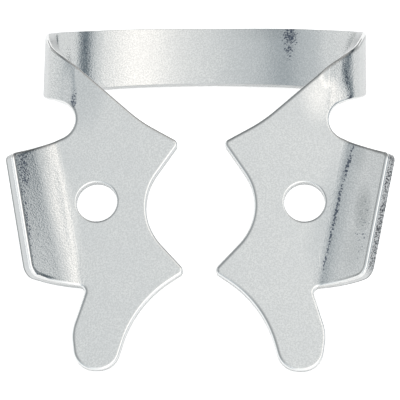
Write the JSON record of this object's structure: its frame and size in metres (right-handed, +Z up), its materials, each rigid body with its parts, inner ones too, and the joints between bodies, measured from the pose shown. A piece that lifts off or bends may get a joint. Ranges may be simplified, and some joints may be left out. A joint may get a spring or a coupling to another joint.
{
  "type": "rubber dam clamp",
  "caption": "Winged rubber dam clamp bent from one steel sheet: two pronged jaws with forceps holes, side wings and front tongues, joined by a springy bow.",
  "frame": {"origin": "middle of the clamp's width and length, on the surface it lies on", "axes": "+X out through the right jaw as seen from above, +Y from the tongues to the bow, +Z up, towards the gum side of the jaws"},
  "size_m": [0.027, 0.0316, 0.0102],
  "materials": {
    "spring_steel": "fine satin, tumbled after stamping, with faint bend marks"
  },
  "bodies": {
    "root": {"clamp": "spring_steel"}
  },
  "joints": []
}
